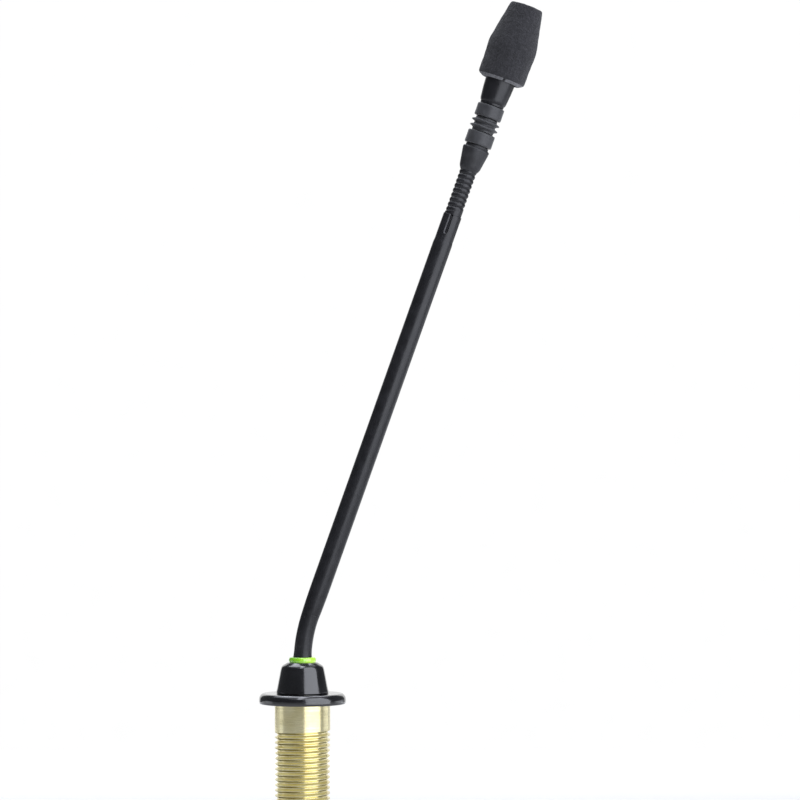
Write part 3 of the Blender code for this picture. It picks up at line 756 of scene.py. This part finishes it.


# Necks: each length spans one joint, from the middle of one link to the middle of the next


def add_neck_length(name, low, high, radius, bore, rows, slot, nodes, sides=72):
    """A closed length of a neck, or of a cable with no bore. Its shading carries on into the next."""
    step = 0.01  # in millimetres along the neck and in radians round it, to find the slopes
    points, normals, faces = [], [], []
    stations = [low + (high - low) * k / rows for k in range(rows + 1)]
    for s in stations:
        matrix = leaning(s)
        for i in range(sides):
            angle = TURN * i / sides
            r = radius(s, angle)
            along = (radius(s + step, angle) - radius(s - step, angle)) / (2 * step)
            turn = (radius(s, angle + step) - radius(s, angle - step)) / (2 * step * r)
            out = Vector((math.cos(angle), math.sin(angle), 0))
            side = Vector((-math.sin(angle), math.cos(angle), 0))
            points.append(matrix @ (out * r * MM))
            normals.append((matrix.to_3x3() @ (out - side * turn - Vector((0, 0, along)))).normalized())
    if bore:
        for s in stations:
            matrix = leaning(s)
            for i in range(sides):
                out = Vector((math.cos(TURN * i / sides), math.sin(TURN * i / sides), 0))
                points.append(matrix @ (out * bore * MM))
                normals.append(matrix.to_3x3() @ -out)
    inner = (rows + 1) * sides
    for i in range(sides):
        j = (i + 1) % sides
        for k in range(rows):
            a, b = k * sides, (k + 1) * sides
            faces.append((a + i, a + j, b + j, b + i))
            if bore:
                faces.append((inner + b + i, inner + b + j, inner + a + j, inner + a + i))
        if bore:
            top = rows * sides
            faces.append((inner + i, inner + j, j, i))
            faces.append((top + i, top + j, inner + top + j, inner + top + i))
    if not bore:
        faces.append(tuple(reversed(range(sides))))
        faces.append(tuple(range(rows * sides, (rows + 1) * sides)))
    mesh = bpy.data.meshes.new(name)
    mesh.from_pydata(points, [], faces)
    mesh.shade_smooth()
    mesh.normals_split_custom_set_from_vertices(normals)
    piece = bpy.data.objects.new(name, mesh)
    bpy.context.scene.collection.objects.link(piece)
    dress(piece, slot, *nodes)
    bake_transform(piece)


def neck_lengths(names, first, last):
    """For each joint of a neck: its two bodies and the stretch for its bend, and its length's two ends."""
    places = [joint_length(name) for name in names]
    half = (places[1] - places[0]) / 2
    lengths = []
    for i, name in enumerate(names):
        low = first if i == 0 else places[i] - half
        high = last if i == len(names) - 1 else places[i] + half
        bend = (places[i] - half + BLEND_MARGIN, places[i] + half - BLEND_MARGIN)
        lengths.append(((JOINTS[name]["parent"], JOINTS[name]["child"], bend), low, high))
    return lengths


def skin_radius(s, angle):
    """The lower neck's skin, which flares into the ring and swells into the stem."""
    root = max(0.0, 1 - (s + SKIN_LENGTH) / SKIN_FLARE_LENGTH)
    end = max(0.0, 1 + s / SKIN_SWELL_LENGTH)
    return SKIN_RADIUS + 0.4 * root ** 2 + 0.1 * end ** 2


def cable_radius(s, angle):
    return CABLE_RADIUS


def add_lower_neck():
    names = ["lower_pitch", "lower_side", "lower_pitch_2", "lower_side_2"]
    cable_low = heights("lower_cable")[0] - BEND_START_Z - BEND_LENGTH
    cable_high = span("lower_cable")[1]
    for i, (bodies, low, high) in enumerate(neck_lengths(names, -SKIN_LENGTH, -0.03)):
        add_neck_length(
            f"lower_skin_{i + 1}", low, high, skin_radius, SKIN_BORE, 16,
            "black_satin", ["lower_neck_skin"],
        )
    for i, (bodies, low, high) in enumerate(neck_lengths(names, cable_low, cable_high)):
        add_neck_length(
            f"lower_lead_{i + 1}", low, high, cable_radius, None, 8,
            "cable_grey", ["lower_cable"], 24,
        )


def hose_radius(s, angle):
    """The wound hose's outside: one round rib, which climbs a pitch in each turn from a plain end."""
    phase = s / HOSE_PITCH - angle / TURN
    groove = 1 - abs(math.sin(math.pi * phase)) ** 0.75
    plain_end = HOSE_START + 1.6 + math.cos(angle)
    fade = min(max((s - plain_end) / 0.4, 0.0), 1.0)
    return HOSE_RADIUS - (HOSE_RADIUS - HOSE_ROOT_RADIUS) * groove * fade


def add_upper_neck():
    names = ["upper_pitch", "upper_side", "upper_pitch_2", "upper_side_2", "upper_pitch_3", "upper_side_3"]
    links = [f"upper_link_{i + 1}" for i in range(5)]
    neck_top = span("lower_collar")[0] - HOSE_REACH
    for i, (bodies, low, high) in enumerate(neck_lengths(names, HOSE_START, neck_top)):
        add_neck_length(
            f"upper_hose_{i + 1}", low, high, hose_radius, HOSE_BORE, 26,
            "black_satin", links[max(0, i - 1):i + 1],
        )
    cable_low, cable_high = span("upper_cable")
    for i, (bodies, low, high) in enumerate(neck_lengths(names, cable_low, cable_high)):
        add_neck_length(
            f"upper_lead_{i + 1}", low, high, cable_radius, None, 8,
            "cable_grey", ["upper_cable"], 24,
        )


# Stem


def slit_sheet(shape, y, left, right, low, top):
    """The slit's outline across the axis at a depth, with a round lower end."""
    half, middle = (right - left) / 2, (left + right) / 2
    outline = [(-half, top), (half, top)]
    steps = 16
    for i in range(steps + 1):
        angle = -math.pi * i / steps
        outline.append((half * math.cos(angle), low + half * math.sin(angle)))
    return [shape.verts.new(leaning(s) @ Vector(((x + middle) * MM, y * MM, 0))) for x, s in outline]


def slit_cutters(top):
    """A bar through the stem's wall on the -Y side, and a wedge that bevels the slit's edges."""
    low = top - SLIT_LENGTH + SLIT_HALF_WIDTH
    left, right = SLIT_SHIFT - 0.25, SLIT_SHIFT + 0.6
    cutters = []
    for outer, inner in (((-4.25, left - 2.1, right + 0.5), (-3.25, left, right)),
                         ((-3.6, left, right), (-1.5, left, right))):
        shape = bmesh.new()
        sheets = [slit_sheet(shape, *sheet, low, top + 1) for sheet in (outer, inner)]
        bridge(shape, *sheets)
        for sheet in sheets:
            shape.faces.new(sheet)
        cutters.append(shape)
    return cutters


def add_stem():
    low, high = span("stem_sleeve")
    crimp = high - CRIMP_LENGTH
    sleeve = make_object("stem_tube", revolve(fillet([
        (STEM_BORE, low), (3.65, low, 0.04), (3.78, low + 3.0, 2.0), (STEM_RADIUS, low + 9.0, 3.0),
        (STEM_RADIUS, crimp, 0.5), (STEM_CRIMP_RADIUS, crimp + 1.2, 0.5), (STEM_CRIMP_RADIUS, high, 0.22),
        (STEM_BORE, high),
    ], 0.1, 4), leaning))
    carve(sleeve, slit_cutters(high))
    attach(dress(sleeve, "black_satin", "stem_sleeve"), "stem")
    bushing_low = span("upper_bushing")[0]
    add_piece("upper_plug", revolve(fillet([
        (1.25, bushing_low), (2.9, bushing_low), (2.9, high - 0.2), (1.25, high - 0.2),
    ], 0.2), leaning, FINE_SIDES), "black_satin", "stem", "upper_bushing")


# Head


def add_adapter():
    low = span("lower_collar")[0] - ADAPTER_REACH
    high = span("neck_adapter")[1]
    add_piece("adapter_cone", revolve(fillet([
        (1.25, low), (3.35, low, 0.15), (3.5, low + 0.25, 0.2), (4.25, low + 1.5, 0.8),
        (5.33, low + 8.1, 2.0),
        (5.46, low + 9.3, 0.3), (5.2, low + 9.7, 0.15), (4.67, low + 9.95, 0.1), (4.67, low + 10.8, 0.1),
        (3.9, low + 10.8), (3.9, high), (1.25, high),
    ], 0.15, 4), leaning), "dark_plastic", "head", "neck_adapter")


def add_shock_mount():
    """Two collars and the bellows between them, with its two thin fins."""
    for node, radius in (("lower_collar", 5.6), ("upper_collar", 5.55)):
        low, high = span(node)
        add_piece(node + "_band", revolve(fillet([
            (4.2, low), (radius - 0.1, low, 0.3), (radius, low + 0.6, 0.3),
            (radius - 0.04, (low + high) / 2, 1.0), (radius, high - 0.6, 0.3), (radius - 0.1, high, 0.3),
            (4.2, high),
        ], 0.15, 4), leaning), "black_rubber", "head", node)
    low, high = span("shock_bellows")
    neck, fin = 4.4, 5.75
    outline = [(2.4, low), (neck, low, 0.15)]
    for middle in FIN_PLACES:
        outline += [(neck, middle - 0.75, 0.4), (fin, middle - 0.2, 0.15)]
        outline += [(fin, middle + 0.2, 0.15), (neck, middle + 0.75, 0.4)]
    outline += [(neck, high, 0.15), (2.4, high)]
    bellows = revolve(fillet(outline, 0.15, 4), leaning)
    add_piece("bellows_body", bellows, "black_rubber", "head", "shock_bellows")


def add_capsule():
    low, high = span("capsule_housing")
    add_piece("housing_shell", revolve(fillet([
        (1.25, low), (3.9, low), (3.9, 215.9), (4.86, 215.9, 0.1), (4.86, 216.8, 0.15), (5.1, 217.0, 0.15),
        (5.38, 217.7, 0.5), (5.89, 222.6, 1.5), (6.08, 225.8, 1.0), (6.1, high, 0.15), (5.2, high),
        (5.2, 227.0),
        (1.25, 226.0),
    ], 0.15, 4), leaning), "black_satin", "head", "capsule_housing")
    low, high = span("capsule_cap")
    cap = make_object("cap_grille", revolve(fillet([
        (0, high, 0), (5.6, high, 0.3), (6.1, high - 0.5, 0.4), (6.1, low, 0.15), (5.2, low),
        (5.2, high - 0.9),
        (0, high - 0.9, 0),
    ], 0.1, 4), leaning))
    holes = []
    for i in range(CAP_HOLES):
        angle = TURN * i / CAP_HOLES
        place = beside(leaning, CAP_HOLE_CIRCLE * math.cos(angle), CAP_HOLE_CIRCLE * math.sin(angle))
        holes.append(rod(CAP_HOLE_RADIUS, high - 2, high + 1, place))
    carve(cap, holes)
    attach(dress(cap, "black_satin", "capsule_cap"), "head")


def add_foam():
    """The windscreen: a tapered foam sleeve with a closed end, its skin broken by open cells."""
    low, high = span("foam_windscreen")
    outside = fillet([
        (6.4, low, 0.1), (7.6, low, 0.3), (9.35, low + 1.0, 0.7), (9.62, low + 2.0, 0.8),
        (9.65, low + 9.6, 1.5),
        (9.92, low + 12.4, 1.5), (9.86, low + 15.5, 2.0), (6.7, high - 0.45, 0.3), (6.3, high, 0.25),
        (0, high, 0),
    ], 0.1, 5)
    points = []
    for a, b in zip(outside, outside[1:]):
        steps = max(1, round((b - a).length / FOAM_SPACING))
        points += [a.lerp(b, k / steps) for k in range(steps)]
    cavity = [(0, CAVITY_TOP), (6.15, CAVITY_TOP), (6.35, 250.3), (CAVITY_RADIUS, low + 0.6)]
    outline = [outside[-1], *reversed(points), *reversed([Vector(point) for point in cavity])]
    shape = revolve(outline, leaning, FOAM_SIDES)
    axis_foot = leaning(0).translation
    notch = leaning(low).to_3x3() @ Vector(NOTCH_SIDE).normalized()
    for vertex in shape.verts:
        length = (vertex.co - axis_foot).dot(HEAD_AXIS) / MM
        axis_point = axis_foot + HEAD_AXIS * length * MM
        away = vertex.co - axis_point
        if away.length < (CAVITY_RADIUS + 0.01) * MM and length < high - 2:
            continue
        nearest = noise.voronoi(vertex.co / (PORE_SIZE * MM))[0]
        strut = min(1.0, (nearest[1] - nearest[0]) / 0.5)
        lump = noise.noise(vertex.co / (LUMP_SIZE * MM)) * LUMP_DEPTH
        inward = (away.normalized() if length < high - 0.3 else HEAD_AXIS) * MM
        in_notch = length < low + NOTCH_LENGTH and away.normalized().dot(notch) > NOTCH_WIDTH
        split = NOTCH_DEPTH if in_notch else 0.0
        vertex.co -= inward * (PORE_DEPTH * strut + lump - 0.03 + split)
    foam = make_object("foam_sleeve", shape, math.radians(180))
    dress(foam, "foam", "foam_windscreen")
    foam.data.materials.append(FOAM_BOUNCE_LIGHT)
    # painted light: the faces of the lower rim, all but the split, get the paler foam that stands for the
    # floor's bounce light
    for face in foam.data.polygons:
        length = (face.center - axis_foot).dot(HEAD_AXIS) / MM
        away = (face.center - axis_foot - HEAD_AXIS * length * MM).normalized()
        if length < low + BOUNCE_LIGHT_LENGTH and away.dot(notch) < NOTCH_WIDTH:
            face.material_index = 1
    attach(foam, "windscreen")


# Studio


def add_camera():
    camera = bpy.data.cameras.new("camera")
    camera.sensor_width = SENSOR_WIDTH
    camera.lens = SENSOR_WIDTH * -CAMERA_PLACE[1] / VIEW_WIDTH
    obj = bpy.data.objects.new("camera", camera)
    obj.location = CAMERA_PLACE
    obj.rotation_euler = (TURN / 4, 0, 0)
    bpy.context.scene.collection.objects.link(obj)
    bpy.context.scene.camera = obj


def add_softbox(name, azimuth, distance, z, width, height, brightness):
    """A rectangular light. Azimuth 0 is towards the camera, and 90 is to its right.

    The lights above a metre point at the object, and the lower ones stand upright.
    """
    light = bpy.data.lights.new(name, "AREA")
    light.shape = "RECTANGLE"
    light.size = width
    light.size_y = height
    light.energy = brightness * math.pi * width * height
    light.color = LIGHT_COLOUR
    a = math.radians(azimuth)
    away = Vector((math.sin(a) * distance, -math.cos(a) * distance, z))
    facing = away - LIT_POINT if z > 1 else Vector((away.x, away.y, 0))
    obj = bpy.data.objects.new(name, light)
    obj.location = away
    obj.rotation_euler = facing.to_track_quat("Z", "Y").to_euler()
    obj.visible_camera = False
    bpy.context.scene.collection.objects.link(obj)
    return obj


def add_studio(floor):
    """Soft lights. The three that reach down to the floor leave it dark, or they would draw lines on it."""
    low_lights = [
        add_softbox("key", 45, 0.72, 0.63, 1.0, 1.5, 2.1),
        add_softbox("rim", -98, 0.7, -0.055, 0.3, 0.13, 0.5),
        add_softbox("tip", 118, 0.7, -0.055, 0.5, 0.13, 0.5),
    ]
    not_lit = bpy.data.collections.new("not_lit")
    not_lit.objects.link(floor)
    not_lit.collection_objects[0].light_linking.link_state = "EXCLUDE"
    for light in low_lights:
        light.light_linking.receiver_collection = not_lit
    add_softbox("top", -150, 0.7, 1.7, 1.2, 1.2, 2.0)
    add_softbox("back", 180, 1.3, 1.55, 1.0, 0.6, 3.0)
    add_softbox("overhead", 0, 0.2, 1.9, 0.4, 3.0, 2.8)
    add_softbox("ceiling", 0, 0.01, 1.95, 3.0, 3.0, 0.4)


def add_world():
    """White where the camera sees it, and a dim pale blue to everything else."""
    world = bpy.data.worlds.new("studio")
    bpy.context.scene.world = world
    world.use_nodes = True
    nodes, links = world.node_tree.nodes, world.node_tree.links
    seen = nodes["Background"]
    seen.inputs["Color"].default_value = (1.0, 1.0, 1.0, 1.0)
    seen.inputs["Strength"].default_value = 1.0
    lit = nodes.new("ShaderNodeBackground")
    lit.inputs["Color"].default_value = (0.9, 0.94, 1.0, 1.0)
    lit.inputs["Strength"].default_value = 0.1
    path = nodes.new("ShaderNodeLightPath")
    mix = nodes.new("ShaderNodeMixShader")
    links.new(path.outputs["Is Camera Ray"], mix.inputs["Fac"])
    links.new(lit.outputs["Background"], mix.inputs[1])
    links.new(seen.outputs["Background"], mix.inputs[2])
    links.new(mix.outputs["Shader"], nodes["World Output"].inputs["Surface"])
    bpy.context.scene.view_settings.view_transform = "Standard"


def add_sheet(name, corners):
    """One flat face."""
    shape = bmesh.new()
    shape.faces.new([shape.verts.new(corner) for corner in corners])
    return make_object(name, shape)


def add_floor():
    """A pale floor with painted light: it glows, and more towards its back edge."""
    front, side = -FLOOR_SIDE, FLOOR_SIDE
    corners = [(-side, front), (side, front), (side, FLOOR_BACK), (-side, FLOOR_BACK)]
    floor = add_sheet("floor", [(x, y, 0) for x, y in corners])
    floor.location.z = cad_box[0].z - FLOOR_DROP
    material, shader = new_material("floor", 0.5)
    grain = noise_value(material, 60, 3.0)
    colour = two_colours(material, grain, (0.74, 0.74, 0.74), (0.78, 0.78, 0.78))
    split = add_node(material, "ShaderNodeSeparateXYZ", {"Vector": surface_point(material)})
    # painted light: the floor's glow rises towards its back
    glow = remap(material, split.outputs["Y"], 0.08, 0.6, 0.3, 0.8)
    feed(material, shader, Base_Color=colour, Emission_Strength=glow)
    shader.inputs["Emission Color"].default_value = (1.0, 1.0, 1.0, 1.0)
    floor.data.materials.append(material)
    return floor


def add_backdrop():
    """A white card behind, which closes the view and brightens grazing reflections."""
    corners = [(-1.5, -0.5), (1.5, -0.5), (1.5, 1.6), (-1.5, 1.6)]
    card = add_sheet("backdrop", [(x, BACKDROP_Y, z) for x, z in corners])
    material, shader = new_material("backdrop", 0.8)
    shader.inputs["Base Color"].default_value = (0.02, 0.02, 0.02, 1.0)
    shader.inputs["Emission Strength"].default_value = 1.0
    weave = noise_value(material, 40, 3.0)
    colour = two_colours(material, weave, (0.985, 0.985, 0.985), (1.0, 1.0, 1.0))
    feed(material, shader, Emission_Color=colour)
    card.data.materials.append(material)


def dress_cad_nodes():
    """Gives every CAD node its slot's material, because those that no piece stands for are shown."""
    for node, obj in frame["nodes"].items():
        obj.data.materials.clear()
        obj.data.materials.append(MATERIALS[SLOTS[node]])


add_camera()
add_studio(add_floor())
add_world()
add_backdrop()
dress_cad_nodes()
add_threaded_tube()
add_flange()
add_cone()
add_light_ring()
add_screws()
add_connector()
add_clamp()
add_lower_neck()
add_upper_neck()
add_stem()
add_adapter()
add_shock_mount()
add_capsule()
add_foam()
